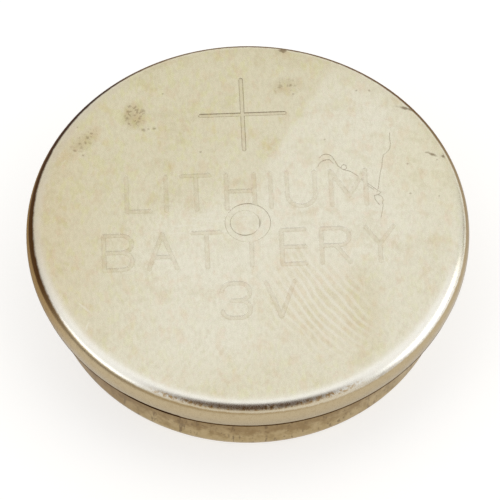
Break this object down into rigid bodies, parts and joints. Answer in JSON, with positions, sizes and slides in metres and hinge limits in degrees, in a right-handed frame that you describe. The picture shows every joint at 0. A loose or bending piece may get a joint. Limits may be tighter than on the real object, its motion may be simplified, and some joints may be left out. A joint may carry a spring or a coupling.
{
  "type": "lithium coin cell",
  "caption": "Thick stepped lithium coin cell: a shallow stamped positive can crimped over a gasket onto a taller, narrower negative cap.",
  "frame": {"origin": "centre of the negative face, on the surface that the cell stands on", "axes": "+Z is the cell's axis, from the negative face to the positive face; the arms of the stamped cross lie along X and Y, with the letters reading along +X"},
  "size_m": [0.023, 0.023, 0.0054],
  "materials": {
    "can_nickel": "worn satin nickel plate with fine scratches, specks and handling marks",
    "gasket_plastic": "moulded, dark with grime",
    "cap_nickel": "drawn nickel plate, specked and dull",
    "collector_steel": "bare rolled steel",
    "cathode_powder": "pressed powder",
    "separator_film": "matte non-woven film",
    "lithium_metal": "soft, dull, freshly cut"
  },
  "bodies": {
    "root": {"positive_can": "can_nickel", "gasket": "gasket_plastic", "negative_cap": "cap_nickel", "current_collector": "collector_steel", "cathode_pellet": "cathode_powder", "separator": "separator_film", "lithium_disc": "lithium_metal"}
  },
  "joints": []
}
